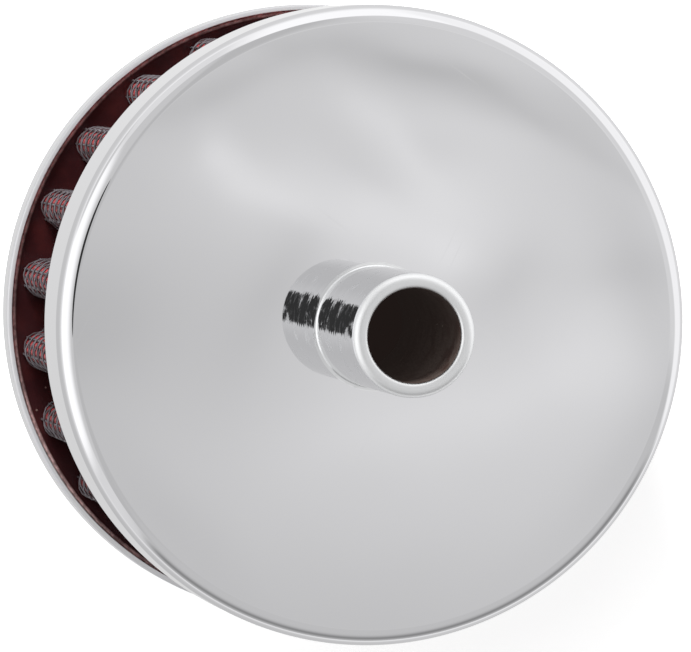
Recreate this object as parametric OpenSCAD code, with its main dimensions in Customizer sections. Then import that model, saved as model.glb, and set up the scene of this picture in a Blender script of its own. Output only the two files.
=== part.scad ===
// Crankcase breather filter: two pressed ends, a turned inlet tube and a pleated gauze element
// cast into both ends with resin. It stands on its cap, with the tube pointing up.

/* [Pressed ends] */
// Outside diameter of the base plate and of the cap
body_d = 88; // [80:1:100]
// Height from the cap's outer face to the base plate's outer face
body_h = 50; // [42:1:70]
// Thickness of the pressed sheet
sheet_t = 0.8; // [0.6:0.1:1]
// Outside radius of the pressed corner
corner_r = 2.4; // [1.8:0.2:3.2]
// Depth of the base plate's skirt, measured from its outer face
base_skirt = 12; // [10:0.5:14]
// Depth of the cap's skirt, measured from its outer face
cap_skirt = 6; // [5:0.5:8]

/* [Inlet tube] */
// Bore of the tube
bore_d = 12.7; // [8:0.1:18]
// Wall of the tube
tube_wall = 2; // [1.5:0.1:3]
// Length of the tube outside the base plate
tube_len = 24; // [15:1:40]
// Radius of the tube's rounded outer lip
lip_r = 0.9; // [0.5:0.1:1.2]
// Chamfer at the mouth of the bore
mouth_chamfer = 0.4; // [0.2:0.1:0.8]
// Radius of the bead where the tube meets the base plate
bead_r = 0.5; // [0.3:0.1:0.8]
// Width of the flange inside the base plate, beyond the tube
flange_w = 4.5; // [3:0.5:6]
// Thickness of the flange inside the base plate
flange_t = 1.5; // [1:0.1:2]
// Length of tube that stands clear of the resin, inside the filter
tube_stub = 1; // [0.5:0.5:3]

/* [Potting resin] */
// Distance from the edge of each skirt to the level of the resin
resin_drop = 1; // [0.8:0.1:1.5]
// Radius of the raised edge that the resin forms against metal
meniscus_r = 0.7; // [0.4:0.1:0.8]
// Thickness of resin under the ends of the pleats
resin_floor = 1; // [0.5:0.1:1.5]

/* [Pleats] */
// Number of pleats
pleats = 24; // [18:1:26]
// Radial depth of the pleats
pleat_depth = 10.7; // [9:0.1:13]
// Gap between the pleats and the skirts
pleat_gap = 1; // [0.8:0.1:3]
// Radius inside the tightest fold
fold_r = 0.5; // [0.3:0.1:0.8]
// Thickness of one layer of gauze
gauze_t = 0.3; // [0.2:0.02:0.4]

/* [Wire screens] */
// Thickness of the wires
wire_t = 0.28; // [0.2:0.02:0.36]
// Number of wires that run round each screen
wire_rows = 6; // [3:1:6]

/* [Hidden] */

chrome = "gainsboro";
steel_wire = "darkgray";
red_gauze = "firebrick";
resin = "#4a1216";

// Faces of a pressed or turned surface of revolution
round_fn = 120;
// Overlap of cutting shapes beyond the surfaces that they cut
cut_over = 1;
// Straight pieces along the fold at a pleat's tip, and along the fold in a valley
tip_facets = 4;
valley_facets = 3;

body_r = body_d / 2;
skirt_in_r = body_r - sheet_t;
inner_corner_r = corner_r - sheet_t;
bore_r = bore_d / 2;
tube_r = bore_r + tube_wall;
tube_top_z = body_h + tube_len;

// Levels of the resin, and of the ends of the pleats inside it
cap_resin_z = cap_skirt - resin_drop;
base_resin_z = body_h - base_skirt + resin_drop;
pack_z0 = sheet_t + resin_floor;
pack_z1 = body_h - sheet_t - resin_floor;
tube_bottom_z = base_resin_z - tube_stub;

// Layers of the pleated pack, counted inwards from its outer surface
screen_t = 2 * wire_t;
gauze_layers = 4;
pack_t = 2 * screen_t + gauze_layers * gauze_t;
function gauze_depth(layer) = screen_t + (layer - 1) * gauze_t;
inner_screen_depth = gauze_depth(gauze_layers + 1);

// Folds: each tip and each valley has one centre that all the layers share
half_pitch = 180 / pleats;
outer_fold_r = fold_r + pack_t;
tip_centre_r = skirt_in_r - pleat_gap - outer_fold_r;
valley_centre_r = skirt_in_r - pleat_gap - pleat_depth + outer_fold_r;
tip_centre = [tip_centre_r, 0];
valley_centre = valley_centre_r * [cos(half_pitch), sin(half_pitch)];
centre_line = valley_centre - tip_centre;

// Direction of the flank's normal, from the tangent that crosses between the two folds
flank_normal = atan2(centre_line[1], centre_line[0]) - acos((outer_fold_r + fold_r) / norm(centre_line));
valley_start = 180 + flank_normal;
valley_sweep = 2 * (valley_start - 180 - half_pitch);

function polar(r, angle) = r * [cos(angle), sin(angle)];
function turned(p, angle) = [p[0] * cos(angle) - p[1] * sin(angle), p[0] * sin(angle) + p[1] * cos(angle)];

// One pleat, from the start of its tip fold to the end of the valley fold after it
function pleat_path(depth) = concat(
    [for (i = [0 : tip_facets])
        tip_centre + polar(outer_fold_r - depth, flank_normal * (2 * i / tip_facets - 1))],
    [for (i = [0 : valley_facets])
        valley_centre + polar(fold_r + depth, valley_start - valley_sweep * i / valley_facets)]);

// Closed outline of the whole pack at a depth below its outer surface
function pack_outline(depth) =
    [for (k = [0 : pleats - 1]) for (p = pleat_path(depth)) turned(p, 2 * half_pitch * k)];

module pleated_ring(outer_depth, inner_depth) {
    difference() {
        polygon(pack_outline(outer_depth));
        polygon(pack_outline(inner_depth));
    }
}

// Cross-section of a round or turned piece between two radii and two heights
module band(r0, r1, z0, z1) {
    translate([r0, z0]) square([r1 - r0, z1 - z0]);
}

// Cross-section of a shallow dish of radius r that stands on z = 0, with a rounded lower corner
module dish_section(r, h, round_r) {
    band(0, r - round_r, 0, h);
    band(0, r, round_r, h);
    translate([r - round_r, round_r]) circle(round_r, $fn = round_fn);
}

// Cross-section of the concave edge that resin forms against a wall, drawn for a wall at its right and resin below
module meniscus_section() {
    difference() {
        translate([-meniscus_r, 0]) square(meniscus_r);
        translate([-meniscus_r, meniscus_r]) circle(meniscus_r, $fn = round_fn);
    }
}

// Pressed cup that stands on z = 0 with its mouth up
module pressed_cup(skirt) {
    rotate_extrude($fn = round_fn) intersection() {
        difference() {
            dish_section(body_r, skirt, corner_r);
            translate([0, sheet_t]) dish_section(skirt_in_r, skirt, inner_corner_r);
        }
        band(0, body_r, 0, skirt);
    }
}

// Space that the pleated pack takes up
module pack_space() {
    translate([0, 0, pack_z0]) linear_extrude(pack_z1 - pack_z0) pleated_ring(0, pack_t);
}

module base_plate() {
    color(chrome) difference() {
        translate([0, 0, body_h]) mirror([0, 0, 1]) pressed_cup(base_skirt);
        translate([0, 0, body_h - sheet_t - cut_over])
            cylinder(r = tube_r, h = sheet_t + 2 * cut_over, $fn = round_fn);
    }
}

module cap() {
    color(chrome) pressed_cup(cap_skirt);
}

module inlet_tube() {
    flange_z = body_h - sheet_t;
    color(chrome) rotate_extrude($fn = round_fn) difference() {
        union() {
            band(bore_r, tube_r, tube_bottom_z, tube_top_z - lip_r);
            band(bore_r, tube_r - lip_r, tube_bottom_z, tube_top_z);
            translate([tube_r - lip_r, tube_top_z - lip_r]) circle(lip_r, $fn = round_fn);
            band(bore_r, tube_r + flange_w, flange_z - flange_t, flange_z);
            translate([tube_r, body_h]) intersection() {
                circle(bead_r, $fn = round_fn);
                square(bead_r);
            }
        }
        translate([bore_r, tube_top_z]) rotate(45) square(mouth_chamfer * sqrt(2), center = true);
    }
}

module cap_potting() {
    color(resin) difference() {
        rotate_extrude($fn = round_fn) {
            intersection() {
                translate([0, sheet_t]) dish_section(skirt_in_r, cap_skirt, inner_corner_r);
                band(0, skirt_in_r, sheet_t, cap_resin_z);
            }
            translate([skirt_in_r, cap_resin_z]) meniscus_section();
        }
        pack_space();
    }
}

module base_potting() {
    plate_in_z = body_h - sheet_t;
    color(resin) difference() {
        rotate_extrude($fn = round_fn) {
            difference() {
                intersection() {
                    translate([0, plate_in_z]) mirror([0, 1]) dish_section(skirt_in_r, base_skirt, inner_corner_r);
                    band(tube_r, skirt_in_r, base_resin_z, plate_in_z);
                }
                band(0, tube_r + flange_w, plate_in_z - flange_t, plate_in_z + cut_over);
            }
            translate([skirt_in_r, base_resin_z]) mirror([0, 1]) meniscus_section();
            translate([tube_r, base_resin_z]) rotate(180) meniscus_section();
        }
        pack_space();
    }
}

// The parts of its children that lie within the width of one upright wire at each pleat's tip
module at_tips() {
    intersection() {
        children();
        for (k = [0 : pleats - 1])
            rotate(2 * half_pitch * k) translate([tip_centre_r, -wire_t / 2]) square([outer_fold_r, wire_t]);
    }
}

// Screen of wires that run round the pleats, on an upright wire at each tip. Each list holds the depths of those
// wires' outer and inner sides, and where two wires cross, one block goes through both.
module wire_screen(row_depths, post_depths) {
    row_pitch = (base_resin_z - cap_resin_z - wire_t) / (wire_rows - 1);
    crossing_depths = [min(row_depths[0], post_depths[0]), max(row_depths[1], post_depths[1])];
    color(steel_wire) {
        for (i = [0 : wire_rows - 1])
            translate([0, 0, cap_resin_z + i * row_pitch]) linear_extrude(wire_t) {
                pleated_ring(row_depths[0], row_depths[1]);
                at_tips() pleated_ring(crossing_depths[0], crossing_depths[1]);
            }
        translate([0, 0, pack_z0]) linear_extrude(pack_z1 - pack_z0)
            at_tips() pleated_ring(post_depths[0], post_depths[1]);
    }
}

module outer_wire_screen() {
    wire_screen([0, wire_t], [wire_t, screen_t]);
}

module inner_wire_screen() {
    middle = inner_screen_depth + wire_t;
    wire_screen([middle, pack_t], [inner_screen_depth, middle]);
}

// Layer 1 is the outermost
module gauze_layer(layer) {
    color(red_gauze) translate([0, 0, pack_z0])
        linear_extrude(pack_z1 - pack_z0) pleated_ring(gauze_depth(layer), gauze_depth(layer + 1));
}

base_plate();
inlet_tube();
cap();
base_potting();
cap_potting();
outer_wire_screen();
gauze_layer(1);  // gauze_layer_1
gauze_layer(2);  // gauze_layer_2
gauze_layer(3);  // gauze_layer_3
gauze_layer(4);  // gauze_layer_4
inner_wire_screen();
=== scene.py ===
"""Crankcase breather filter: chromed pressings, a turned tube and a pleated gauze element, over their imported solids."""

import logging
import math
from dataclasses import dataclass, field
from enum import Enum

import bmesh
import bpy
from mathutils import Matrix, Vector


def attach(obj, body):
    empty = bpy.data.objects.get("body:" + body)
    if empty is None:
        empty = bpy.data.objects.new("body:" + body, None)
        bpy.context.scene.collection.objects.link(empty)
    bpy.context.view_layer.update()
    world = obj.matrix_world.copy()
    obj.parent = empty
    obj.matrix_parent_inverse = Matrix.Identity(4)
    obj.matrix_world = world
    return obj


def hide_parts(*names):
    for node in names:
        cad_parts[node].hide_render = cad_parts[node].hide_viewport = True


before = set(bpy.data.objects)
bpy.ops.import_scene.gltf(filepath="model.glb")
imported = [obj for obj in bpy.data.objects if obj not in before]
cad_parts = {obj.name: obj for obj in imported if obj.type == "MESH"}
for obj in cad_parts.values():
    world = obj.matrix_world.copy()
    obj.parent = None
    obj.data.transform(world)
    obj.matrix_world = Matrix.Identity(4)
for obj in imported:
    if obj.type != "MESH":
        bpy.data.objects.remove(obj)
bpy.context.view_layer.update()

MM = 0.001
BODY = "root"
# Edges between faces that meet at more than this angle stay crisp
CRISP_ANGLE = math.radians(32)
# Points closer than this are one point
MERGE = 1e-7

Socket = bpy.types.NodeSocket
Value = Socket | float | tuple[float, ...]
log = logging.getLogger("breather_filter")


def polar(radius: float, angle: float) -> Vector:
    """Returns the point in the plane at a radius and an angle."""
    return Vector((radius * math.cos(angle), radius * math.sin(angle)))


# ---------------------------------------------------------------- shader nodes


class Graph:
    """The nodes of one tree, with short calls that add them and join them up."""

    def __init__(self, tree: bpy.types.NodeTree) -> None:
        """Takes the tree that the nodes go into."""
        self.tree = tree

    def put(self, socket: Socket, value: Value) -> None:
        """Joins a socket to another one, or sets it.

        Args:
            socket: the input.
            value: an output to join it to, or its own plain value.
        """
        if isinstance(value, bpy.types.NodeSocket):
            self.tree.links.new(value, socket)
        else:
            socket.default_value = value

    def add(self, kind: str, inputs: dict[str | int, Value] | None = None, **settings: object) -> bpy.types.Node:
        """Adds one node.

        Args:
            kind: the node's type, without its ShaderNode prefix.
            inputs: what goes into its sockets, by name or by index.
            settings: its other properties.

        Returns:
            The node.
        """
        node = self.tree.nodes.new("ShaderNode" + kind)
        for name, value in settings.items():
            setattr(node, name, value)
        for name, value in (inputs or {}).items():
            self.put(node.inputs[name], value)
        return node

    def math(self, operation: str, *values: Value, clamp: bool = False) -> Socket:
        """Returns the result of a Math node on the values."""
        return self.add("Math", dict(enumerate(values)), operation=operation, use_clamp=clamp).outputs[0]

    def vector(self, operation: str, *values: Value) -> Socket:
        """Returns the vector, or for a dot product and a length the number, of a Vector Math node."""
        node = self.add("VectorMath", dict(enumerate(values)), operation=operation)
        return node.outputs["Value" if operation in ("DOT_PRODUCT", "LENGTH") else "Vector"]

    def scaled(self, vector: Value, factors: tuple[float, float, float]) -> Socket:
        """Returns a vector with each of its parts multiplied by its own factor."""
        return self.vector("MULTIPLY", vector, factors)

    def split(self, vector: Value) -> tuple[Socket, Socket, Socket]:
        """Returns the three parts of a vector."""
        return tuple(self.add("SeparateXYZ", {0: vector}).outputs)

    def ease(self, value: Value, start: float, end: float, low: float = 0.0, high: float = 1.0) -> Socket:
        """Returns a value that goes smoothly from low to high while the input goes from start to end."""
        inputs = {"Value": value, "From Min": start, "From Max": end, "To Min": low, "To Max": high}
        return self.add("MapRange", inputs, interpolation_type="SMOOTHSTEP").outputs["Result"]

    def mix(self, factor: Value, first: Value, second: Value) -> Socket:
        """Returns a colour between two colours."""
        node = self.add("Mix", data_type="RGBA")
        for name, value in (("Factor_Float", factor), ("A_Color", first), ("B_Color", second)):
            self.put(next(s for s in node.inputs if s.identifier == name), value)
        return next(s for s in node.outputs if s.identifier == "Result_Color")

    def noise(self, vector: Value, scale: float, detail: float = 2.0, rough: float = 0.5) -> Socket:
        """Returns a noise from 0 to 1."""
        inputs = {"Vector": vector, "Scale": scale, "Detail": detail, "Roughness": rough}
        return self.add("TexNoise", inputs).outputs["Fac"]

    def bump(self, height: Value, distance: float, normal: Socket | None = None) -> Socket:
        """Returns a normal raised by a height, over another normal where one is given."""
        inputs: dict[str | int, Value] = {"Height": height, "Distance": distance}
        if normal is not None:
            inputs["Normal"] = normal
        return self.add("Bump", inputs).outputs["Normal"]


class Effect(Enum):
    """Node groups that several finishes share."""

    WAVES = "surface_waves"
    SCRATCHES = "hairline_scratches"
    DUST = "dust_specks"
    WEAVE = "open_weave"


class Effects:
    """Builds each shared node group once, and places it in a material."""

    def __init__(self) -> None:
        """Starts with no group built."""
        self.built: dict[Effect, bpy.types.ShaderNodeTree] = {}

    def place(self, graph: Graph, effect: Effect, inputs: dict[str, Value]) -> bpy.types.Node:
        """Puts a group into a material's tree.

        Args:
            graph: the material's nodes.
            effect: which group.
            inputs: what goes into its named inputs.

        Returns:
            The group's node.
        """
        if effect not in self.built:
            maker = {
                Effect.WAVES: self.waves,
                Effect.SCRATCHES: self.scratches,
                Effect.DUST: self.dust,
                Effect.WEAVE: self.weave,
            }[effect]
            self.built[effect] = maker(bpy.data.node_groups.new(effect.value, "ShaderNodeTree"))
        node = graph.add("Group", node_tree=self.built[effect])
        for name, value in inputs.items():
            graph.put(node.inputs[name], value)
        return node

    @staticmethod
    def ends(
        tree: bpy.types.ShaderNodeTree, inputs: dict[str, str], outputs: tuple[str, ...]
    ) -> tuple[Graph, dict[str, Socket], bpy.types.Node]:
        """Gives a group its named sockets.

        Args:
            tree: the new group.
            inputs: each input's name and whether it is a Float or a Vector.
            outputs: the names of its outputs, all numbers.

        Returns:
            The group's graph, its inputs by name, and its output node.
        """
        for name, kind in inputs.items():
            tree.interface.new_socket(name, in_out="INPUT", socket_type="NodeSocket" + kind)
        for name in outputs:
            tree.interface.new_socket(name, in_out="OUTPUT", socket_type="NodeSocketFloat")
        graph = Graph(tree)
        start = tree.nodes.new("NodeGroupInput")
        return graph, {name: start.outputs[name] for name in inputs}, tree.nodes.new("NodeGroupOutput")

    def waves(self, tree: bpy.types.ShaderNodeTree) -> bpy.types.ShaderNodeTree:
        """Returns the group of long, low waves in a pressed or cast surface."""
        graph, given, end = self.ends(tree, {"Position": "Vector", "Per metre": "Float"}, ("Height",))
        long = graph.add("TexNoise", {"Vector": given["Position"], "Scale": given["Per metre"], "Detail": 1.0})
        graph.put(end.inputs["Height"], long.outputs["Fac"])
        return tree

    def scratches(self, tree: bpy.types.ShaderNodeTree) -> bpy.types.ShaderNodeTree:
        """Returns the group of faint hairlines from wiping and handling."""
        graph, given, end = self.ends(tree, {"Position": "Vector", "Amount": "Float"}, ("Mask",))
        mask: Value = 0.0
        for turn, stretch in ((0.5, 900.0), (1.9, 1300.0), (2.7, 1100.0)):
            spun = graph.add(
                "VectorRotate", {"Vector": given["Position"], "Angle": turn}, rotation_type="Z_AXIS"
            ).outputs[0]
            line = graph.noise(graph.scaled(spun, (stretch, 22.0, 22.0)), 1.0, 3.0, 0.6)
            mask = graph.math("MAXIMUM", mask, graph.ease(line, 0.68, 0.78))
        graph.put(end.inputs["Mask"], graph.math("MULTIPLY", mask, given["Amount"]))
        return tree

    def dust(self, tree: bpy.types.ShaderNodeTree) -> bpy.types.ShaderNodeTree:
        """Returns the group of small specks with a soft edge, thinned out in patches."""
        graph, given, end = self.ends(
            tree, {"Position": "Vector", "Per metre": "Float", "Size": "Float"}, ("Mask",)
        )
        cells = graph.add("TexVoronoi", {"Vector": given["Position"], "Scale": given["Per metre"]})
        near = graph.math("LESS_THAN", cells.outputs["Distance"], given["Size"])
        few = graph.math("GREATER_THAN", graph.split(cells.outputs["Color"])[0], 0.9)
        graph.put(end.inputs["Mask"], graph.math("MULTIPLY", near, few))
        return tree

    def weave(self, tree: bpy.types.ShaderNodeTree) -> bpy.types.ShaderNodeTree:
        """Returns the group of a plain open weave, with its threads' height, their cover and their tone."""
        graph, given, end = self.ends(
            tree, {"Flat": "Vector", "Threads per metre": "Float", "Thread share": "Float"}, ("Height", "Cover", "Tone")
        )
        sway = graph.add("TexNoise", {"Vector": given["Flat"], "Scale": 260.0, "Detail": 2.0}).outputs["Color"]
        swayed = graph.vector("ADD", given["Flat"], graph.scaled(graph.vector("SUBTRACT", sway, (0.5,) * 3), (7e-4,) * 3))
        across, along, _ = graph.split(swayed)
        half = graph.math("MULTIPLY", given["Thread share"], 0.5)
        threads: list[Socket] = []
        for this, other, sign in ((across, along, 1.0), (along, across, -1.0)):
            place = graph.math("MULTIPLY", this, given["Threads per metre"])
            crossing = graph.math("MULTIPLY", other, given["Threads per metre"])
            off = graph.math("ABSOLUTE", graph.math("SUBTRACT", graph.math("FRACT", place), 0.5))
            inside = graph.math("DIVIDE", off, half)
            round_top = graph.math("SQRT", graph.math("SUBTRACT", 1.0, graph.math("POWER", inside, 2.0), clamp=True))
            turn = graph.math("ADD", graph.math("FLOOR", place), graph.math("SUBTRACT", crossing, 0.5))
            over = graph.math("COSINE", graph.math("MULTIPLY", turn, math.pi))
            lift = graph.math("MULTIPLY_ADD", over, 0.35 * sign, 0.65)
            threads.append(graph.math("MULTIPLY", round_top, lift))
        height = graph.math("MAXIMUM", *threads)
        graph.put(end.inputs["Height"], height)
        graph.put(end.inputs["Cover"], graph.math("GREATER_THAN", height, 0.02))
        graph.put(end.inputs["Tone"], graph.noise(graph.scaled(given["Flat"], (900.0, 900.0, 900.0)), 1.0, 3.0, 0.6))
        return tree


EFFECTS = Effects()


@dataclass(frozen=True)
class Finish:
    """A material with its own nodes, made once for all the pieces that share it."""

    name: str
    color: tuple[float, float, float]
    roughness: float
    metallic: float = 0.0

    def material(self) -> bpy.types.Material:
        """Returns the material, which is made on the first call."""
        found = bpy.data.materials.get(self.name)
        if found is not None:
            return found
        made = bpy.data.materials.new(self.name)
        made.use_nodes = True
        made.node_tree.nodes.clear()
        graph = Graph(made.node_tree)
        shader = graph.add(
            "BsdfPrincipled",
            {"Base Color": (*self.color, 1.0), "Roughness": self.roughness, "Metallic": self.metallic},
        )
        output = graph.add("OutputMaterial")
        graph.put(output.inputs["Surface"], shader.outputs[0])
        position = graph.add("TexCoord").outputs["Object"]
        self.dress(graph, shader, position)
        return made

    def dress(self, graph: Graph, shader: bpy.types.Node, position: Socket) -> None:
        """Adds what varies over the surface.

        Args:
            graph: the material's nodes.
            shader: its Principled shader.
            position: the place on the object, in metres.
        """
        raise NotImplementedError

    def on(self, piece: bpy.types.Object) -> None:
        """Appends the material to a piece's slots."""
        piece.data.materials.append(self.material())


@dataclass(frozen=True)
class PressedChrome(Finish):
    """Polished plating over pressed sheet, which shows the sheet's long waves and faint wiping marks."""

    wave: float = 26 * MM
    wave_height: float = 0.02 * MM
    wiped: float = 0.06
    sheared: tuple[float, float] = (5.35 * MM, 38.4 * MM)
    sheared_haze: float = 0.45

    def dress(self, graph: Graph, shader: bpy.types.Node, position: Socket) -> None:
        """Adds waves, wiping marks and a faint haze."""
        waves = EFFECTS.place(graph, Effect.WAVES, {"Position": position, "Per metre": 1 / self.wave})
        lines = EFFECTS.place(graph, Effect.SCRATCHES, {"Position": position, "Amount": self.wiped})
        graph.put(shader.inputs["Normal"], graph.bump(waves.outputs["Height"], self.wave_height))
        height = graph.split(position)[2]
        over_cap = graph.ease(height, self.sheared[0], self.sheared[0] + 0.1 * MM)
        under_base = graph.ease(height, self.sheared[1], self.sheared[1] + 0.1 * MM, 1.0, 0.0)
        worn = graph.math("MAXIMUM", lines.outputs["Mask"], graph.math("MULTIPLY", over_cap, under_base))
        haze = graph.ease(graph.noise(position, 60.0, 4.0), 0.35, 0.75, self.roughness, self.roughness * 1.8)
        graph.put(shader.inputs["Roughness"], graph.math("MULTIPLY_ADD", worn, self.sheared_haze, haze))


@dataclass(frozen=True)
class TurnedChrome(Finish):
    """Plating over a turned tube, whose fine uneven rings break the edges of what it mirrors."""

    sway: float = 0.13
    ring: float = 0.7 * MM
    ring_height: float = 0.004 * MM
    groove: float = 1.5 * MM
    groove_height: float = 0.003 * MM
    lip_from: float = 72.8 * MM
    lip_haze: float = 0.38
    blotch: float = 2.4 * MM
    blotch_haze: float = 0.30

    def dress(self, graph: Graph, shader: bpy.types.Node, position: Socket) -> None:
        """Adds the turning rings, a few deeper grooves, and the haze of the worn lip."""
        normal = graph.add("NewGeometry").outputs["Normal"]
        jag = graph.noise(graph.scaled(position, (120.0, 120.0, 1 / self.ring)), 1.0, 2.0, 0.5)
        sway = graph.math("MULTIPLY_ADD", jag, 2 * self.sway, -self.sway)
        aside = graph.vector("MULTIPLY", graph.vector("CROSS_PRODUCT", (0.0, 0.0, 1.0), normal), sway)
        normal = graph.vector("NORMALIZE", graph.vector("ADD", normal, aside))
        fine = graph.noise(graph.scaled(position, (260.0, 260.0, 1 / self.ring)), 1.0, 2.0, 0.5)
        broad = graph.noise(graph.scaled(position, (110.0, 110.0, 1 / self.groove)), 1.0, 2.0, 0.6)
        cut = graph.math("ADD", graph.ease(broad, 0.60, 0.63), graph.ease(broad, 0.41, 0.385))
        rings = graph.bump(fine, self.ring_height, normal)
        graph.put(shader.inputs["Normal"], graph.bump(cut, self.groove_height, rings))
        height = graph.split(position)[2]
        lip = graph.ease(height, self.lip_from, self.lip_from + 0.6 * MM, 0.0, self.lip_haze)
        blotch = graph.ease(graph.noise(position, 1 / self.blotch, 4.0, 0.6), 0.50, 0.68, 0.0, self.blotch_haze)
        haze = graph.math("MAXIMUM", lip, blotch)
        graph.put(shader.inputs["Roughness"], graph.math("ADD", haze, self.roughness))


@dataclass(frozen=True)
class BoreSteel(Finish):
    """The unplated, oil-stained inside of the tube."""

    stain: tuple[float, float, float] = (0.030, 0.016, 0.013)
    # Colour of a faint painted glow in the bore, which is no lamp
    painted_glow: tuple[float, float, float] = (0.0115, 0.0085, 0.0075)

    def dress(self, graph: Graph, shader: bpy.types.Node, position: Socket) -> None:
        """Adds stains, boring rings, pale specks and a faint painted glow."""
        patch = graph.ease(graph.noise(position, 320.0, 4.0, 0.6), 0.4, 0.65)
        specks = EFFECTS.place(graph, Effect.DUST, {"Position": position, "Per metre": 700.0, "Size": 0.12})
        tone = graph.mix(patch, (*self.color, 1.0), (*self.stain, 1.0))
        bright = graph.mix(specks.outputs["Mask"], tone, (0.30, 0.28, 0.24, 1.0))
        graph.put(shader.inputs["Base Color"], bright)
        # Painted glow: a faint emission lifts the dark bore, as if light came through the gauze
        shader.inputs["Emission Color"].default_value = (*self.painted_glow, 1.0)
        shader.inputs["Emission Strength"].default_value = 1.0
        rings = graph.noise(graph.scaled(position, (150.0, 150.0, 3200.0)), 1.0, 2.0)
        graph.put(shader.inputs["Normal"], graph.bump(rings, 0.02 * MM))


@dataclass(frozen=True)
class PottingResin(Finish):
    """Dark maroon cast resin with a glossy skin, a soft ripple and a few specks of dust."""

    thin: tuple[float, float, float] = (0.055, 0.012, 0.012)
    rim_from: float = 42.5 * MM
    # Radius inside which the resin gets a faint painted glow
    painted_glow_radius: float = 29 * MM
    # Colour of the faint painted glow on the resin in the middle of the pleat pack
    painted_glow: tuple[float, float, float] = (0.0125, 0.0086, 0.0076)
    # Pale colour of a painted highlight along the raised edge
    painted_rim_light: tuple[float, float, float] = (0.90, 0.62, 0.60)

    def dress(self, graph: Graph, shader: bpy.types.Node, position: Socket) -> None:
        """Adds the ripple, the clouding, the dust, a speckled painted highlight on the raised edge and a faint painted
        glow inside the pleat pack.
        """
        waves = EFFECTS.place(graph, Effect.WAVES, {"Position": position, "Per metre": 230.0})
        specks = EFFECTS.place(graph, Effect.DUST, {"Position": position, "Per metre": 900.0, "Size": 0.16})
        cloud = graph.ease(graph.noise(position, 180.0, 3.0), 0.42, 0.75)
        tone = graph.mix(cloud, (*self.color, 1.0), (*self.thin, 1.0))
        flat = graph.scaled(position, (1.0, 1.0, 0.0))
        rim = graph.ease(graph.vector("LENGTH", flat), self.rim_from, self.rim_from + 0.45 * MM)
        speckle = graph.ease(graph.noise(position, 1100.0, 3.0), 0.35, 0.65, 0.45, 1.0)
        # Painted highlight: towards the raised edge the colour goes speckled pale, as if lit
        worn = graph.mix(graph.math("MULTIPLY", rim, speckle), tone, (*self.painted_rim_light, 1.0))
        dusty = graph.mix(specks.outputs["Mask"], worn, (0.16, 0.10, 0.085, 1.0))
        graph.put(shader.inputs["Base Color"], dusty)
        graph.put(shader.inputs["Normal"], graph.bump(waves.outputs["Height"], 0.12 * MM))
        dull = graph.math("MULTIPLY", graph.math("MAXIMUM", specks.outputs["Mask"], rim), 0.4)
        # Painted glow: the resin inside the pleat pack gets a faint emission, though it is no lamp
        painted_glow_mask = graph.ease(graph.vector("LENGTH", flat), self.painted_glow_radius, self.painted_glow_radius + 1 * MM, 1.0, 0.0)
        graph.put(shader.inputs["Emission Color"], graph.mix(painted_glow_mask, (0.0, 0.0, 0.0, 1.0), (*self.painted_glow, 1.0)))
        shader.inputs["Emission Strength"].default_value = 1.0
        graph.put(shader.inputs["Roughness"], graph.math("ADD", dull, self.roughness))


@dataclass(frozen=True)
class CottonGauze(Finish):
    """Oiled red cotton in an open weave, drawn on the cloth's own flat sizes."""

    # Darker dye, which is also the painted shade between the threads
    dark_dye_and_painted_shade: tuple[float, float, float] = (0.16, 0.008, 0.010)
    threads_per_metre: float = 900.0
    thread_share: float = 0.62
    open_weave: bool = True

    def dress(self, graph: Graph, shader: bpy.types.Node, position: Socket) -> None:
        """Adds the threads, their uneven dye, painted shade where they sink low, the oil's sheen and, where it is open,
        the holes.
        """
        flat = graph.add("UVMap", uv_map="flat").outputs["UV"]
        cloth = EFFECTS.place(
            graph,
            Effect.WEAVE,
            {"Flat": flat, "Threads per metre": self.threads_per_metre, "Thread share": self.thread_share},
        )
        height, cover, tone = (cloth.outputs[name] for name in ("Height", "Cover", "Tone"))
        low = graph.mix(tone, (*self.dark_dye_and_painted_shade, 1.0), (*self.color, 1.0))
        # Painted shade: where the threads sink low, the colour goes to the dark colour
        lit = graph.mix(graph.ease(height, 0.15, 0.9), (*self.dark_dye_and_painted_shade, 1.0), low)
        graph.put(shader.inputs["Base Color"], lit)
        fuzz = graph.math("MULTIPLY_ADD", tone, 0.35, height)
        graph.put(shader.inputs["Normal"], graph.bump(fuzz, 0.22 * MM))
        graph.put(shader.inputs["Roughness"], graph.ease(tone, 0.3, 0.7, self.roughness - 0.12, self.roughness + 0.1))
        shader.inputs["Sheen Weight"].default_value = 0.2
        shader.inputs["Sheen Roughness"].default_value = 0.5
        shader.inputs["Sheen Tint"].default_value = (1.0, 0.35, 0.35, 1.0)
        if self.open_weave:
            graph.put(shader.inputs["Alpha"], cover)


@dataclass(frozen=True)
class ScreenWire(Finish):
    """Coated aluminium wire, dulled and specked with dust and oil."""

    oiled: tuple[float, float, float] = (0.10, 0.08, 0.085)

    def dress(self, graph: Graph, shader: bpy.types.Node, position: Socket) -> None:
        """Adds the drawn grain and the oily dust."""
        patch = graph.ease(graph.noise(position, 420.0, 3.0), 0.42, 0.62)
        graph.put(shader.inputs["Base Color"], graph.mix(patch, (*self.color, 1.0), (*self.oiled, 1.0)))
        graph.put(shader.inputs["Roughness"], graph.math("MULTIPLY_ADD", patch, 0.2, self.roughness))
        graph.put(shader.inputs["Normal"], graph.bump(graph.noise(position, 5200.0, 2.0), 0.01 * MM))


PRESSED_CHROME = PressedChrome("pressed_chrome_finish", (0.862, 0.860, 0.878), 0.018, 1.0)
TURNED_CHROME = TurnedChrome("turned_chrome_finish", (0.97, 0.975, 0.985), 0.03, 1.0)
BORE_STEEL = BoreSteel("bore_steel_finish", (0.060, 0.046, 0.040), 0.65)
POTTING_RESIN = PottingResin("potting_resin_finish", (0.030, 0.008, 0.009), 0.13)
OPEN_GAUZE = CottonGauze("cotton_gauze_finish", (0.44, 0.036, 0.042), 0.62)
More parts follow.
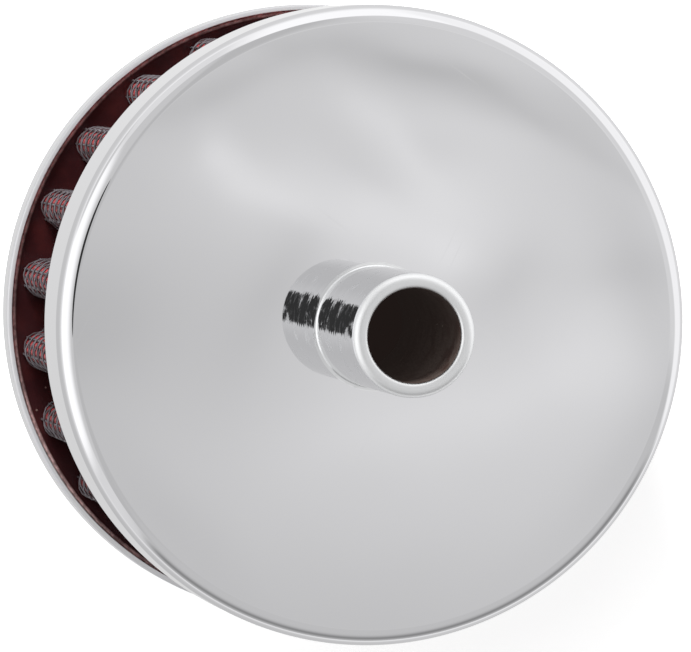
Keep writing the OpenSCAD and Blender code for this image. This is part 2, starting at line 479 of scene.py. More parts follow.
# The middle layers' gauze is a darker copy of the same cotton: painted shade between the layers
CLOSE_SHADED_GAUZE = CottonGauze("cotton_gauze_under_shaded_finish", (0.30, 0.02, 0.024), 0.66, thread_share=0.82)
SCREEN_WIRE = ScreenWire("screen_wire_finish", (0.17, 0.155, 0.17), 0.4, 0.6)


# ---------------------------------------------------------------- making pieces


def as_piece(name: str, mesh: bpy.types.Mesh, nodes: tuple[str, ...]) -> bpy.types.Object:
    """Puts a finished mesh into the scene as a piece of the filter.

    Args:
        name: the piece's name.
        mesh: its mesh, in place and in metres.
        nodes: the CAD nodes that it stands for.

    Returns:
        The piece, which rides on the filter's body.
    """
    piece = bpy.data.objects.new(name, mesh)
    bpy.context.scene.collection.objects.link(piece)
    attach(piece, BODY)
    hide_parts(*nodes)
    log.info("%s: %d vertices, %d faces", name, len(mesh.vertices), len(mesh.polygons))
    return piece


def mesh_from(bm: bmesh.types.BMesh, name: str, crisp: float = CRISP_ANGLE) -> bpy.types.Mesh:
    """Turns a bmesh into a smooth-shaded mesh whose sharp edges stay crisp.

    Args:
        bm: the bmesh, which is freed.
        name: the mesh's name.
        crisp: the angle past which an edge is sharp.

    Returns:
        The mesh.
    """
    for face in bm.faces:
        face.smooth = True
    for edge in bm.edges:
        edge.smooth = not (len(edge.link_faces) == 2 and edge.calc_face_angle(0.0) > crisp)
    mesh = bpy.data.meshes.new(name)
    bm.to_mesh(mesh)
    bm.free()
    return mesh


@dataclass(frozen=True)
class Corner:
    """One corner of a turned piece's cross-section, in millimetres, with the radius that rounds it."""

    radius: float
    height: float
    rounding: float = 0.0
    segments: int = 10


@dataclass
class TurnedPart:
    """A surface of revolution about the filter's axis, spun from the corners of its cross-section."""

    name: str
    slot: str
    node: str
    corners: tuple[Corner, ...]
    steps: int = 256

    def outline(self, bm: bmesh.types.BMesh) -> None:
        """Draws the closed cross-section and rounds its corners.

        Args:
            bm: the bmesh that takes the outline.
        """
        points = [bm.verts.new((c.radius * MM, 0.0, c.height * MM)) for c in self.corners]
        for here, there in zip(points, points[1:] + points[:1]):
            bm.edges.new((here, there))
        for corner, point in zip(self.corners, points):
            if not corner.rounding:
                continue
            one, two = ((e.other_vert(point).co - point.co).normalized() for e in point.link_edges)
            half_turn = (math.pi - one.angle(two)) / 2
            bmesh.ops.bevel(
                bm,
                geom=[point],
                offset=corner.rounding * MM * math.tan(half_turn),
                offset_type="OFFSET",
                segments=corner.segments,
                profile=0.5,
                affect="VERTICES",
                material=-1,
            )

    def mesh(self) -> bpy.types.Mesh:
        """Returns the spun and closed mesh, with its faces pointing outwards."""
        bm = bmesh.new()
        self.outline(bm)
        bmesh.ops.remove_doubles(bm, verts=bm.verts[:], dist=MERGE)
        bmesh.ops.spin(
            bm,
            geom=bm.verts[:] + bm.edges[:],
            cent=(0.0, 0.0, 0.0),
            axis=(0.0, 0.0, 1.0),
            dvec=(0.0, 0.0, 0.0),
            angle=2 * math.pi,
            steps=self.steps,
            use_merge=True,
            use_duplicate=False,
        )
        bmesh.ops.remove_doubles(bm, verts=bm.verts[:], dist=MERGE)
        on_axis = [e for e in bm.edges if not e.link_faces]
        bmesh.ops.delete(bm, geom=on_axis, context="EDGES")
        bmesh.ops.recalc_face_normals(bm, faces=bm.faces[:])
        return mesh_from(bm, self.name)

    def piece(self) -> bpy.types.Object:
        """Returns the piece, with normals that keep its flat faces flat."""
        made = as_piece(self.name, self.mesh(), (self.node,))
        weighted = made.modifiers.new("flat faces", "WEIGHTED_NORMAL")
        weighted.keep_sharp = True
        weighted.weight = 80
        return made


@dataclass
class FilterSizes:
    """The filter's main sizes in millimetres, as in the solids."""

    body_r: float = 44.0
    body_h: float = 50.0
    sheet: float = 0.8
    corner: float = 2.4
    base_skirt: float = 12.0
    cap_skirt: float = 6.0
    bore_r: float = 6.35
    tube_r: float = 8.35
    tube_top: float = 74.0
    lip: float = 1.1
    mouth: float = 0.4
    bead: float = 0.5
    flange: float = 4.5
    flange_t: float = 1.5
    tube_stub: float = 1.0
    resin_drop: float = 1.0
    meniscus: float = 0.7
    resin_floor: float = 1.0
    wire: float = 0.28
    gauze: float = 0.3

    @property
    def skirt_in(self) -> float:
        """Radius inside the skirts."""
        return self.body_r - self.sheet

    @property
    def cap_resin(self) -> float:
        """Level of the resin in the cap."""
        return self.cap_skirt - self.resin_drop

    @property
    def base_resin(self) -> float:
        """Level of the resin in the base plate."""
        return self.body_h - self.base_skirt + self.resin_drop

    @property
    def pack_low(self) -> float:
        """Level of the pleats' lower ends."""
        return self.sheet + self.resin_floor

    @property
    def pack_high(self) -> float:
        """Level of the pleats' upper ends."""
        return self.body_h - self.sheet - self.resin_floor


@dataclass
class Ends:
    """The two pressings and the tube through one of them."""

    sizes: FilterSizes
    edge_slant: float = 0.26
    outer_burr: float = 0.4
    inner_burr: float = 0.1
    foot_round: float = 0.16

    def cup(self, name: str, skirt: float, hole: float, upside_down: bool) -> TurnedPart:
        """Lays out a pressed cup.

        Args:
            name: the piece's and the node's name.
            skirt: the depth of its skirt.
            hole: the radius of the hole in its face, or 0.
            upside_down: whether its face is at the filter's top.

        Returns:
            The turned part.
        """
        s = self.sizes
        section = (
            Corner(hole, 0.0),
            Corner(s.body_r, 0.0, s.corner, 20),
            Corner(s.body_r, skirt - self.edge_slant, self.outer_burr, 6),
            Corner(s.skirt_in, skirt, self.inner_burr, 4),
            Corner(s.skirt_in, s.sheet, s.corner - s.sheet, 8),
            Corner(hole, s.sheet),
        )
        if upside_down:
            section = tuple(Corner(c.radius, s.body_h - c.height, c.rounding, c.segments) for c in section)
        return TurnedPart(f"{name}_pressing", "pressed_chrome", name, section)

    def tube(self) -> TurnedPart:
        """Returns the turned tube with its lip, foot bead and flange."""
        s = self.sizes
        under = s.body_h - s.sheet
        return TurnedPart(
            "inlet_tube_turning",
            "turned_chrome",
            "inlet_tube",
            (
                Corner(s.bore_r, s.base_resin - s.tube_stub, 0.2, 2),
                Corner(s.tube_r, s.base_resin - s.tube_stub, 0.2, 2),
                Corner(s.tube_r, under - s.flange_t),
                Corner(s.tube_r + s.flange, under - s.flange_t, 0.2, 2),
                Corner(s.tube_r + s.flange, under),
                Corner(s.tube_r, under),
                Corner(s.tube_r, s.body_h - 0.06),
                Corner(s.tube_r + s.bead, s.body_h - 0.06),
                Corner(s.tube_r + s.bead, s.body_h + 0.01),
                Corner(s.tube_r, s.body_h + 0.01, self.foot_round, 6),
                Corner(s.tube_r, s.tube_top, s.lip, 12),
                Corner(s.bore_r, s.tube_top, s.mouth + 0.12, 8),
            ),
            steps=192,
        )

    def build(self) -> None:
        """Builds and dresses the cap, the base plate and the tube."""
        s = self.sizes
        PRESSED_CHROME.on(self.cup("cap", s.cap_skirt, 0.0, False).piece())
        PRESSED_CHROME.on(self.cup("base_plate", s.base_skirt, s.tube_r, True).piece())
        tube = self.tube().piece()
        TURNED_CHROME.on(tube)
        BORE_STEEL.on(tube)
        inside = (s.bore_r + 0.02) * MM
        for face in tube.data.polygons:
            if all(math.hypot(*tube.data.vertices[v].co.xy) < inside for v in face.vertices):
                face.material_index = 1


@dataclass
class PleatPath:
    """The line that the pleated pack follows, at any depth below its outer surface, in metres."""

    sizes: FilterSizes
    pleats: int = 24
    gap: float = 1.0
    radial_depth: float = 10.7
    fold: float = 0.5
    pack: float = 2.32
    # A fold is never tighter than this
    least_fold: float = 0.03

    def __post_init__(self) -> None:
        """Works out the folds' centres and the flanks' direction."""
        outer = self.sizes.skirt_in - self.gap
        self.outer_fold = self.fold + self.pack
        self.half_pitch = math.pi / self.pleats
        self.tip = Vector((outer - self.outer_fold, 0.0))
        self.valley = polar(outer - self.radial_depth + self.outer_fold, self.half_pitch)
        line = self.valley - self.tip
        self.flank_normal = math.atan2(line.y, line.x) - math.acos((self.outer_fold + self.fold) / line.length)
        self.valley_start = math.pi + self.flank_normal
        self.valley_sweep = 2 * (self.flank_normal - self.half_pitch)

    def radii(self, depth: float) -> tuple[float, float]:
        """Returns the radii of the tip fold and of the valley fold at a depth."""
        return self.outer_fold - depth, max(self.fold + depth, self.least_fold)

    def parts(self, depth: float) -> tuple[float, float, float]:
        """Returns the lengths of a tip fold, of a flank and of a valley fold at a depth."""
        tip_r, valley_r = self.radii(depth)
        start = self.tip + polar(tip_r, self.flank_normal)
        end = self.valley + polar(valley_r, self.valley_start)
        return 2 * self.flank_normal * tip_r, (end - start).length, self.valley_sweep * valley_r

    def length(self, depth: float) -> float:
        """Returns the developed length of the whole path at a depth, in millimetres."""
        tip, flank, valley = self.parts(depth)
        return self.pleats * (tip + 2 * flank + valley)

    def at(self, along: float, depth: float) -> tuple[Vector, Vector]:
        """Finds a place on the path.

        Args:
            along: how far it is along the path at this depth, in millimetres.
            depth: its depth below the pack's outer surface, in millimetres.

        Returns:
            The point, in metres, and the direction out of the pack.
        """
        tip, flank, valley = self.parts(depth)
        tip_r, valley_r = self.radii(depth)
        period = tip + 2 * flank + valley
        pleat, rest = divmod(along, period)
        turn = Matrix.Rotation(2 * self.half_pitch * pleat, 2)
        if rest < tip:
            angle = -self.flank_normal + rest / tip_r
            point, normal = self.tip + polar(tip_r, angle), polar(1.0, angle)
        elif rest < tip + flank:
            normal = polar(1.0, self.flank_normal)
            start = self.tip + tip_r * normal
            point = start.lerp(self.valley - valley_r * normal, (rest - tip) / flank)
        elif rest < tip + flank + valley:
            angle = self.valley_start - (rest - tip - flank) / valley_r
            point, normal = self.valley + polar(valley_r, angle), -polar(1.0, angle)
        else:
            end = self.valley_start - self.valley_sweep
            normal = -polar(1.0, end)
            next_tip = Matrix.Rotation(2 * self.half_pitch, 2) @ self.tip
            start = self.valley - valley_r * normal
            point = start.lerp(next_tip + tip_r * normal, (rest - tip - flank - valley) / flank)
        return MM * (turn @ point), turn @ normal

    def stops(self, depth: float, tip_steps: int, flank_steps: int, valley_steps: int) -> list[float]:
        """Spreads points over the path, with their own number on each kind of part.

        Args:
            depth: the depth below the pack's outer surface.
            tip_steps: pieces in a tip fold.
            flank_steps: pieces in a flank.
            valley_steps: pieces in a valley fold.

        Returns:
            How far along the path each point is.
        """
        tip, flank, valley = self.parts(depth)
        places: list[float] = []
        start = 0.0
        for _ in range(self.pleats):
            for length, steps in ((tip, tip_steps), (flank, flank_steps), (valley, valley_steps), (flank, flank_steps)):
                places += [start + length * i / steps for i in range(steps)]
                start += length
        return places


@dataclass
class Resin:
    """The cast resin in both ends, with its raised edges."""

    sizes: FilterSizes
    creep: float = 0.86

    def build(self) -> None:
        """Builds and dresses both castings."""
        s = self.sizes
        low = TurnedPart(
            "cap_resin",
            "potting_resin",
            "cap_potting",
            (
                Corner(0.0, s.sheet),
                Corner(s.skirt_in, s.sheet, s.corner - s.sheet, 8),
                Corner(s.skirt_in, s.cap_resin + self.creep),
                Corner(s.skirt_in - 1e-3, s.cap_resin, self.creep, 8),
                Corner(0.0, s.cap_resin),
            ),
        ).piece()
        under = s.body_h - s.sheet
        high = TurnedPart(
            "base_resin",
            "potting_resin",
            "base_potting",
            (
                Corner(s.tube_r, s.base_resin - s.meniscus),
                Corner(s.tube_r + 1e-3, s.base_resin, s.meniscus, 6),
                Corner(s.skirt_in - 1e-3, s.base_resin, s.meniscus, 6),
                Corner(s.skirt_in, s.base_resin - s.meniscus),
                Corner(s.skirt_in, under, s.corner - s.sheet, 8),
                Corner(s.tube_r + s.flange, under),
                Corner(s.tube_r + s.flange, under - s.flange_t),
                Corner(s.tube_r, under - s.flange_t),
            ),
        ).piece()
        POTTING_RESIN.on(low)
        POTTING_RESIN.on(high)


@dataclass
class GauzeLayer:
    """One pleated sheet of cotton gauze, woven flat and folded up."""

    sizes: FilterSizes
    path: PleatPath
    number: int
    finish: CottonGauze
    steps: tuple[int, int, int] = (12, 4, 6)
    height_steps: int = 46
    thickness: float = 0.24

    @property
    def depth(self) -> float:
        """Depth of the sheet's middle below the pack's outer surface."""
        return 2 * self.sizes.wire + (self.number - 0.5) * self.sizes.gauze

    def mesh(self) -> bpy.types.Mesh:
        """Returns the pleated sheet, with a UV map of its flat sizes in metres."""
        s = self.sizes
        bm = bmesh.new()
        flat = bm.loops.layers.uv.new("flat")
        stops = self.path.stops(self.depth, *self.steps)
        total = self.path.length(self.depth)
        ring = []
        for stop in stops:
            point, _ = self.path.at(stop, self.depth)
            ring.append(bm.verts.new((*point, s.pack_low * MM)))
        edges = [bm.edges.new(pair) for pair in zip(ring, ring[1:] + ring[:1])]
        rise = (s.pack_high - s.pack_low) * MM / self.height_steps
        for _ in range(self.height_steps):
            grown = bmesh.ops.extrude_edge_only(bm, edges=edges)["geom"]
            edges = [g for g in grown if isinstance(g, bmesh.types.BMEdge)]
            bmesh.ops.translate(bm, verts=[g for g in grown if isinstance(g, bmesh.types.BMVert)], vec=(0, 0, rise))
            edges = [e for e in edges if abs(e.verts[0].co.z - e.verts[1].co.z) < rise / 2]
        where = {self.key(v.co): stop for v, stop in zip(ring, stops)}
        for face in bm.faces:
            along = [where[self.key(loop.vert.co)] for loop in face.loops]
            wraps = max(along) - min(along) > total / 2
            for loop, place in zip(face.loops, along):
                over = total if wraps and place < total / 2 else 0.0
                loop[flat].uv = ((place + over) * MM, loop.vert.co.z)
        bmesh.ops.recalc_face_normals(bm, faces=bm.faces[:])
        return mesh_from(bm, f"gauze_sheet_{self.number}")

    @staticmethod
    def key(place: Vector) -> tuple[int, int]:
        """Returns a name for a column of the sheet, from where it stands."""
        return round(place.x * 1e6), round(place.y * 1e6)

    def build(self) -> None:
        s = self.sizes
        piece = as_piece(
            f"gauze_sheet_{self.number}", self.mesh(), (f"gauze_layer_{self.number}",)
        )
        self.finish.on(piece)
        wall = piece.modifiers.new("thickness", "SOLIDIFY")
        wall.thickness = self.thickness * MM
        wall.offset = 0.0
        flat = ((s.pack_high - s.pack_low) * MM, self.path.length(self.depth) * MM)
        log.info("gauze sheet %d is cut to %.1f by %.1f mm", self.number, flat[0] / MM, flat[1] / MM)


@dataclass
class WireScreen:
    """A screen of woven wires, pleated with the gauze."""

    sizes: FilterSizes
    path: PleatPath
    side: str
    middle: float
    row_pitch: float = 1.85
    post_pitch: float = 2.5
    first_row: float = 0.8
    points_per_post: int = 3

    @property
    def row_count(self) -> int:
        """How many wires run round the pleats."""
        s = self.sizes
        return 1 + int((s.pack_high - s.pack_low - 2 * self.first_row) / self.row_pitch)

    @property
    def post_count(self) -> int:
        """How many upright wires there are, which is an even number."""
        return 2 * round(self.path.length(self.middle) / self.post_pitch / 2)

    def place(self, row: int, post: float, side: float) -> Vector:
        """Finds a point of a wire where a row passes a post, or between two posts.

        Args:
            row: which row.
            post: which post, with a fraction between two of them.
            side: 1 for the row's own wire, and -1 for the upright one.

        Returns:
            The point, in metres.
        """
        s = self.sizes
        point, out = self.path.at(self.path.length(self.middle) * post / self.post_count, self.middle)
        shift = side * math.cos(math.pi * (post + row)) * s.wire / 2 * MM
        return Vector((*(point + out * shift), (s.pack_low + self.first_row + self.row_pitch * row) * MM))

    def rows(self) -> list[list[Vector]]:
        """Returns the points of each wire that runs round the pleats."""
        steps = range(self.points_per_post * self.post_count)
        return [
            [self.place(row, step / self.points_per_post, 1.0) for step in steps] for row in range(self.row_count)
        ]

    def posts(self) -> list[list[Vector]]:
        """Returns the points of each upright wire."""
        s = self.sizes
        lines = []
        for post in range(self.post_count):
            line = [self.place(row, post, -1.0) for row in range(self.row_count)]
            foot, head = line[0].copy(), line[-1].copy()
            foot.z, head.z = s.pack_low * MM, s.pack_high * MM
            lines.append([foot, *line, head])
        return lines

    def wires(self, name: str, lines: list[list[Vector]], closed: bool) -> bpy.types.Mesh:
        """Draws round wires along lines of points.

        Args:
            name: the mesh's name.
            lines: the points of each wire.
            closed: whether each wire joins up with its own start.

        Returns:
            The mesh.
        """
        curve = bpy.data.curves.new(name, "CURVE")
        curve.dimensions = "3D"
        curve.bevel_depth = self.sizes.wire / 2 * MM
        curve.bevel_resolution = 1
        curve.use_fill_caps = not closed
        for line in lines:
            spline = curve.splines.new("POLY")
            spline.points.add(len(line) - 1)
            for point, place in zip(spline.points, line):
                point.co = (*place, 1.0)
            spline.use_cyclic_u = closed
            spline.use_smooth = True
        drawn = bpy.data.objects.new(name, curve)
        bpy.context.scene.collection.objects.link(drawn)
        depsgraph = bpy.context.evaluated_depsgraph_get()
        mesh = bpy.data.meshes.new_from_object(drawn.evaluated_get(depsgraph))
        bpy.data.objects.remove(drawn)
        bpy.data.curves.remove(curve)
        mesh.name = name
        return mesh

    def build(self) -> None:
        """Builds and dresses the rows and the upright wires."""
        for part, lines, closed in (("rows", self.rows(), True), ("posts", self.posts(), False)):
            name = f"{self.side}_screen_{part}"
            mesh = self.wires(name, lines, closed)
            SCREEN_WIRE.on(as_piece(name, mesh, (f"{self.side}_wire_screen",)))


# ---------------------------------------------------------------- studio


@dataclass(frozen=True)
class Viewpoint:
    """Where the photograph was taken from, in millimetres and degrees about the base plate's middle."""

    tilt: float = 12.588
    azimuth: float = -96.4
    roll: float = 13.608
    distance: float = 838.4441
    aside: float = 4.1698
    below: float = 0.08
    pixels_per_millimetre: float = 7.311
    frame_width: int = 691
    target_height: float = 50.0

    def axes(self) -> tuple[Vector, Vector, Vector]:
        """Returns the picture's right, the picture's down and the direction back to the camera."""
        tilt, azimuth, roll = (math.radians(a) for a in (self.tilt, self.azimuth, self.roll))
        flat = Vector((math.cos(azimuth), math.sin(azimuth), 0.0))
        back = math.sin(tilt) * flat + Vector((0.0, 0.0, math.cos(tilt)))
        lean = (Vector((0.0, 0.0, 1.0)) - back.z * back).normalized()
        side = back.cross(lean)
        right = math.cos(roll) * lean + math.sin(roll) * side
        down = math.sin(roll) * lean - math.cos(roll) * side
        return right, down, back

    def place_camera(self) -> None:
        """Makes the scene's camera."""
        right, down, back = self.axes()
        data = bpy.data.cameras.new("camera")
        data.sensor_width = 36.0
        data.lens = self.pixels_per_millimetre * self.distance * data.sensor_width / self.frame_width
        data.clip_start, data.clip_end = 0.05, 60.0
        camera = bpy.data.objects.new("camera", data)
        bpy.context.scene.collection.objects.link(camera)
        place = Vector((0, 0, self.target_height)) + self.distance * back - self.aside * right - self.below * down
        turn = Matrix((right, -down, back)).transposed().to_4x4()
        camera.matrix_world = Matrix.Translation(place * MM) @ turn
        bpy.context.scene.camera = camera


@dataclass(frozen=True)
class SidePanel:
    """A light panel beside the filter that the chrome mirrors. Its azimuth runs from the picture's right to its top."""

    azimuth: float
    spread: float
    from_tilt: float
    soft: float
    level: float


@dataclass(frozen=True)
class SoftPatch:
    """A soft lighter or darker streak overhead, in millimetres on the base plate where the camera sees it."""

    across: float
    up: float
    half_long: float
    half_wide: float
    turn: float
    change: float


@dataclass
class Studio:
    """Plain floor, pale surroundings, soft lamps and the camera."""

    view: Viewpoint = field(default_factory=Viewpoint)
    plain_level: float = 0.2
    overhead: tuple[float, float] = (0.54, 0.74)
    overhead_span: tuple[float, float] = (-130.0, 60.0)
    dusk_azimuth: float = -75.0
    dusk_spread: float = 50.0
    dusk_tilt: float = 70.0
    dusk_width: float = 15.0
    dusk_level: float = 0.27
    lens_dark: float = 0.035
    lens_half_angle: float = 6.6
    floor_size: float = 6.0
    floor_shown: float = 0.8
    # Levels of the floor's painted brightness in reflections: near the filter, far away, and leaning one way
    floor_near: float = 0.13
    floor_far: tuple[float, float] = (0.67, 0.94)
    floor_lean: float = 0.11
    panels: tuple[SidePanel, ...] = (
        SidePanel(-65.0, 55.0, 12.0, 0.20, 0.58),
        SidePanel(165.0, 58.0, 9.0, 0.12, 0.64),
        SidePanel(-150.0, 24.0, 40.0, 0.05, 0.76),
        SidePanel(118.0, 25.0, 53.0, 0.04, 0.82),
        SidePanel(80.0, 25.0, 44.0, 0.06, 1.12),
        SidePanel(26.0, 60.0, 43.5, 0.10, 1.02),
        SidePanel(177.0, 35.0, 34.0, 0.50, 1.17),
        SidePanel(148.0, 16.0, 76.0, 0.03, 0.62),
    )
    patches: tuple[SoftPatch, ...] = (
        SoftPatch(-2.7, 16.9, 20.6, 7.9, -9.0, 0.115),
        SoftPatch(12.2, 33.3, 26.1, 3.4, -16.0, -0.109),
        SoftPatch(10.6, -11.4, 22.3, 6.2, 14.0, 0.089),
        SoftPatch(-46.5, 0.4, 22.7, 10.1, 0.0, -0.101),
        SoftPatch(5.7, -46.1, 40.0, 14.0, -7.0, -0.091),
        SoftPatch(38.2, 6.6, 20.4, 5.4, -69.0, -0.082),
        SoftPatch(42.1, -15.8, 22.2, 5.6, 44.0, -0.111),
        SoftPatch(5.2, 6.6, 25.7, 5.9, 58.0, 0.045),
        SoftPatch(18.8, 5.9, 7.4, 3.7, 56.0, -0.066),
        SoftPatch(-27.5, -28.6, 17.7, 4.4, -46.0, -0.045),
        SoftPatch(-27.4, 31.7, 21.5, 1.9, 17.0, -0.084),
        SoftPatch(-20.8, 23.0, 6.0, 2.8, -57.0, 0.074),
        SoftPatch(30.5, -4.3, 6.8, 6.4, 0.0, 0.066),
        SoftPatch(-13.4, 6.8, 4.4, 13.3, -32.0, -0.069),
        SoftPatch(14.6, -18.8, 35.0, 13.9, 21.0, 0.049),
        SoftPatch(4.5, 35.9, 23.4, 1.8, -8.0, -0.062),
        SoftPatch(-8.2, 16.4, 22.6, 3.2, -21.0, 0.044),
        SoftPatch(44.0, 7.6, 20.7, 4.3, 4.0, -0.045),
        SoftPatch(1.0, 28.2, 11.5, 2.3, -45.0, 0.085),
        SoftPatch(30.1, 24.8, 17.8, 1.4, -33.0, -0.062),
        SoftPatch(5.5, 29.3, 14.0, 2.4, -10.0, 0.040),
        SoftPatch(-1.3, 21.8, 7.4, 2.0, -44.0, -0.049),
        SoftPatch(-13.2, 16.6, 6.9, 1.6, -19.0, 0.051),
        SoftPatch(10.4, 9.6, 3.0, 2.4, 35.0, 0.061),
        SoftPatch(-22.8, 24.9, 3.0, 2.4, 90.0, 0.051),
        SoftPatch(0.0, 75.0, 150.0, 11.0, 0.0, 0.14),
    )

    def build(self) -> None:
        """Builds the whole studio."""
        self.view.place_camera()
        self.surroundings()
        self.floor()
        self.lamps()

    def sky(self, graph: Graph) -> Socket:
        """Adds the surroundings that the chrome mirrors.

        Args:
            graph: the world's nodes.

        Returns:
            Their brightness.
        """
        right, down, back = self.view.axes()
        ahead = graph.add("TexCoord").outputs["Generated"]
        flat_right = Vector((right.x, right.y, 0.0)).normalized()
        flat_up = Vector((-flat_right.y, flat_right.x, 0.0))
        zenith = graph.split(ahead)[2]
        across = self.on_plate(graph, ahead, zenith, flat_right)
        up = self.on_plate(graph, ahead, zenith, flat_up)
        level: Value = graph.ease(across, *self.overhead_span, *self.overhead)
        for patch in self.patches:
            level = graph.math("ADD", level, self.streak(graph, across, up, patch))
        flat = graph.vector("NORMALIZE", graph.vector("MULTIPLY", ahead, (1.0, 1.0, 0.0)))
        tilt = graph.math("ARCCOSINE", zenith)
        for panel in self.panels:
            side = self.toward(panel.azimuth, flat_right, flat_up)
            edge = math.sin(math.radians(panel.from_tilt))
            reach = graph.ease(graph.vector("DOT_PRODUCT", ahead, tuple(side)), edge - panel.soft / 2, edge + panel.soft / 2)
            cover = graph.math("MULTIPLY", reach, self.facing(graph, flat, side, panel.spread))
            level = graph.math("ADD", level, graph.math("MULTIPLY", cover, graph.math("SUBTRACT", panel.level, level)))
        away = graph.math("DIVIDE", graph.math("SUBTRACT", tilt, math.radians(self.dusk_tilt)), math.radians(self.dusk_width))
        band = graph.math("EXPONENT", graph.math("MULTIPLY", graph.math("MULTIPLY", away, away), -1.0))
        side = self.toward(self.dusk_azimuth, flat_right, flat_up)
        cover = graph.math("MULTIPLY", band, self.facing(graph, flat, side, self.dusk_spread))
        level = graph.math("ADD", level, graph.math("MULTIPLY", cover, graph.math("SUBTRACT", self.dusk_level, level)))
        half = math.radians(self.lens_half_angle)
        lens = graph.vector("DOT_PRODUCT", ahead, tuple(back))
        seen = graph.ease(lens, math.cos(half * 1.04), math.cos(half * 0.96))
        return graph.math("ADD", level, graph.math("MULTIPLY", seen, graph.math("SUBTRACT", self.lens_dark, level)))

    @staticmethod
    def toward(azimuth: float, flat_right: Vector, flat_up: Vector) -> Vector:
        """Returns the level direction at an azimuth, which runs from the picture's right to its top."""
        turn = math.radians(azimuth)
        return math.cos(turn) * flat_right + math.sin(turn) * flat_up

    @staticmethod
    def facing(graph: Graph, flat: Socket, side: Vector, spread: float) -> Socket:
        """Returns 1 where a level direction lies within a spread of angles about a side, and 0 beyond it."""
        edge = math.cos(math.radians(spread))
        return graph.ease(graph.vector("DOT_PRODUCT", flat, tuple(side)), edge - 0.06, edge + 0.06)

    def on_plate(self, graph: Graph, ahead: Socket, zenith: Socket, way: Vector) -> Socket:
        """Finds where on the base plate the camera sees a direction mirrored.

        Args:
            graph: the world's nodes.
            ahead: the direction.
            zenith: its upward part.
            way: the way over the plate to measure along.

        Returns:
            How far from the plate's middle it is, in millimetres.
        """
        right, down, back = self.view.axes()
        eye = self.view.distance * back - self.view.aside * right - self.view.below * down
        slope = graph.math("DIVIDE", graph.vector("DOT_PRODUCT", ahead, tuple(way)), zenith)
        return graph.math("MULTIPLY_ADD", slope, eye.z, eye.dot(way))

    @staticmethod
    def streak(graph: Graph, across: Socket, up: Socket, patch: SoftPatch) -> Socket:
        """Adds one soft streak.

        Args:
            graph: the world's nodes.
            across: the place on the plate along the picture's right, in millimetres.
            up: the place along the picture's up.
            patch: the streak.

        Returns:
            What it adds to the brightness.
        """
        turn = math.radians(patch.turn)
        total: Value = 0.0
        for half, angle in ((patch.half_long, turn), (patch.half_wide, turn + math.pi / 2)):
            right_part, up_part = math.cos(angle) / half, math.sin(angle) / half
            middle = patch.across * right_part + patch.up * up_part
            place = graph.math("MULTIPLY_ADD", up, up_part, graph.math("MULTIPLY_ADD", across, right_part, -middle))
            total = graph.math("ADD", total, graph.math("POWER", place, 2.0))
        return graph.math("MULTIPLY", graph.math("EXPONENT", graph.math("MULTIPLY", total, -1.0)), patch.change)

    def surroundings(self) -> None:
        """Makes the world: white for the camera, plain for lighting, and the studio's panels in reflections."""
        world = bpy.data.worlds.new("studio")
        bpy.context.scene.world = world
        world.use_nodes = True
        world.node_tree.nodes.clear()
        graph = Graph(world.node_tree)
        rays = graph.add("LightPath").outputs
        paper = (1.0, 1.0, 1.0, 1.0)
        mirrored = graph.add("Background", {"Color": paper, "Strength": self.sky(graph)})
        plain = graph.add("Background", {"Color": paper, "Strength": self.plain_level})
        white = graph.add("Background", {"Color": paper, "Strength": 1.0})
        lit = graph.add("MixShader", {0: rays["Is Glossy Ray"], 1: plain.outputs[0], 2: mirrored.outputs[0]})
        direct = graph.math("MAXIMUM", rays["Is Camera Ray"], rays["Is Transmission Ray"])
        shown = graph.add("MixShader", {0: direct, 1: lit.outputs[0], 2: white.outputs[0]})
        graph.put(graph.add("OutputWorld").inputs["Surface"], shown.outputs[0])

    def floor(self) -> None:
        """Makes the pale floor, which shows white and keeps the filter's shadow; in the chrome it shows a painted
        brightness instead of its own shading.
        """
        bm = bmesh.new()
        bmesh.ops.create_circle(bm, cap_ends=True, segments=96, radius=self.floor_size / 2)
        bmesh.ops.translate(bm, verts=bm.verts, vec=(0.0, 0.0, -0.05 * MM))
        mesh = mesh_from(bm, "floor")
        floor = bpy.data.objects.new("floor", mesh)
        bpy.context.scene.collection.objects.link(floor)
        made = bpy.data.materials.new("floor_paper")
        made.use_nodes = True
        made.node_tree.nodes.clear()
        graph = Graph(made.node_tree)
        rays = graph.add("LightPath").outputs
        # Painted reflection: glossy and transmission rays see the floor black, lit only by a painted brightness
        through = graph.math("MAXIMUM", rays["Is Glossy Ray"], rays["Is Transmission Ray"])
        mirrored = graph.math("MULTIPLY", through, self.painted_floor_reflection(graph))
        shader = graph.add(
            "BsdfPrincipled",
            {
                "Base Color": graph.mix(through, (0.8, 0.8, 0.8, 1.0), (0.0, 0.0, 0.0, 1.0)),
                "Roughness": 0.9,
                "Specular IOR Level": 0.0,
                "Emission Color": (1.0, 1.0, 1.0, 1.0),
                "Emission Strength": graph.math("MULTIPLY_ADD", rays["Is Camera Ray"], self.floor_shown, mirrored),
            },
        )
        under = graph.add("MixShader", {"Fac": graph.add("NewGeometry").outputs["Backfacing"]})
        graph.put(under.inputs[1], shader.outputs[0])
        graph.put(under.inputs[2], graph.add("BsdfTransparent").outputs[0])
        graph.put(graph.add("OutputMaterial").inputs["Surface"], under.outputs[0])
        mesh.materials.append(made)

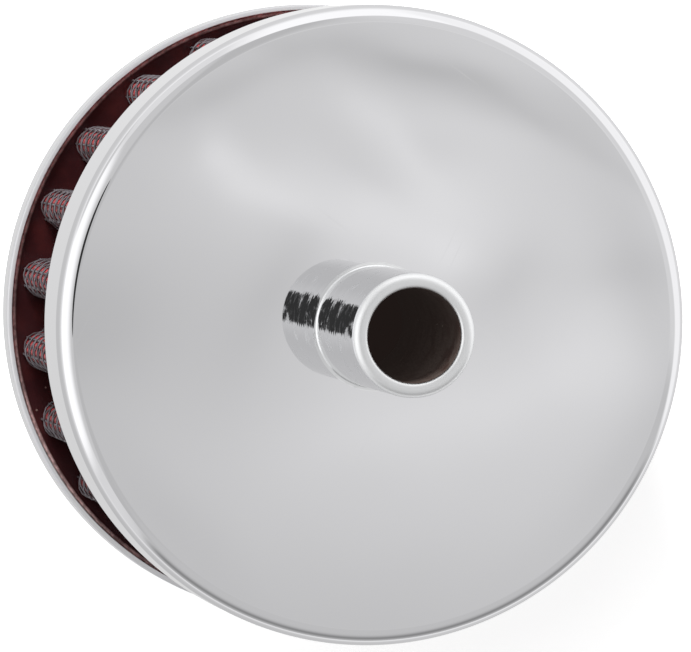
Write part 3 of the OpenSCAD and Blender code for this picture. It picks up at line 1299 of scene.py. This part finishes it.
    def painted_floor_reflection(self, graph: Graph) -> Socket:
        """Returns the floor's painted brightness in the chrome: lighter under the filter, far away and at the picture's
        top.
        """
        right, _, _ = self.view.axes()
        flat_right = Vector((right.x, right.y, 0.0)).normalized()
        toward = (flat_right + Vector((-flat_right.y, flat_right.x, 0.0))).normalized()
        place = graph.add("TexCoord").outputs["Object"]
        away = graph.vector("LENGTH", place)
        near = graph.ease(away, 0.058, 0.068, self.floor_near, 0.0)
        far = graph.ease(away, 0.08, 0.45, *self.floor_far)
        lean = graph.vector("DOT_PRODUCT", graph.vector("NORMALIZE", place), tuple(toward))
        lean = graph.math("MULTIPLY", lean, graph.ease(away, 0.0, 0.044))
        return graph.math("ADD", near, graph.math("MULTIPLY_ADD", lean, self.floor_lean, far))

    def lamps(self) -> None:
        """Hangs a soft lamp up and to the left of the picture, and a larger one overhead."""
        right, down, back = self.view.axes()
        self.lamp("side_lamp", -0.35 * right - 0.90 * down + 0.45 * back, 0.9, 0.35, 12.0)
        self.lamp("top_lamp", -0.25 * right - 0.35 * down + back, 1.3, 0.9, 6.5)

    def lamp(self, name: str, toward: Vector, distance: float, width: float, power: float) -> None:
        """Hangs one round soft lamp.

        Args:
            name: its name.
            toward: the direction that it hangs in.
            distance: how far away it is, in metres.
            width: its diameter, in metres.
            power: its power, in watts.
        """
        data = bpy.data.lights.new(name, "AREA")
        data.shape = "DISK"
        data.size = width
        data.energy = power
        lamp = bpy.data.objects.new(name, data)
        bpy.context.scene.collection.objects.link(lamp)
        way = toward.normalized()
        place = distance * way + Vector((0.0, 0.0, 0.03))
        lamp.matrix_world = Matrix.Translation(place) @ way.to_track_quat("Z", "Y").to_matrix().to_4x4()
        lamp.visible_glossy = False


def main() -> None:
    """Builds the studio and then each sub-assembly of the filter."""
    logging.basicConfig(level=logging.INFO, format="%(name)s: %(message)s")
    bpy.context.scene.view_settings.view_transform = "Standard"
    sizes = FilterSizes()
    path = PleatPath(sizes)
    Studio().build()
    Ends(sizes).build()
    Resin(sizes).build()
    for number, finish in ((1, OPEN_GAUZE), (2, CLOSE_SHADED_GAUZE), (3, CLOSE_SHADED_GAUZE), (4, OPEN_GAUZE)):
        GauzeLayer(sizes, path, number, finish).build()
    WireScreen(sizes, path, "outer", sizes.wire).build()
    WireScreen(sizes, path, "inner", path.pack - sizes.wire).build()


if __name__ == "__main__":
    main()
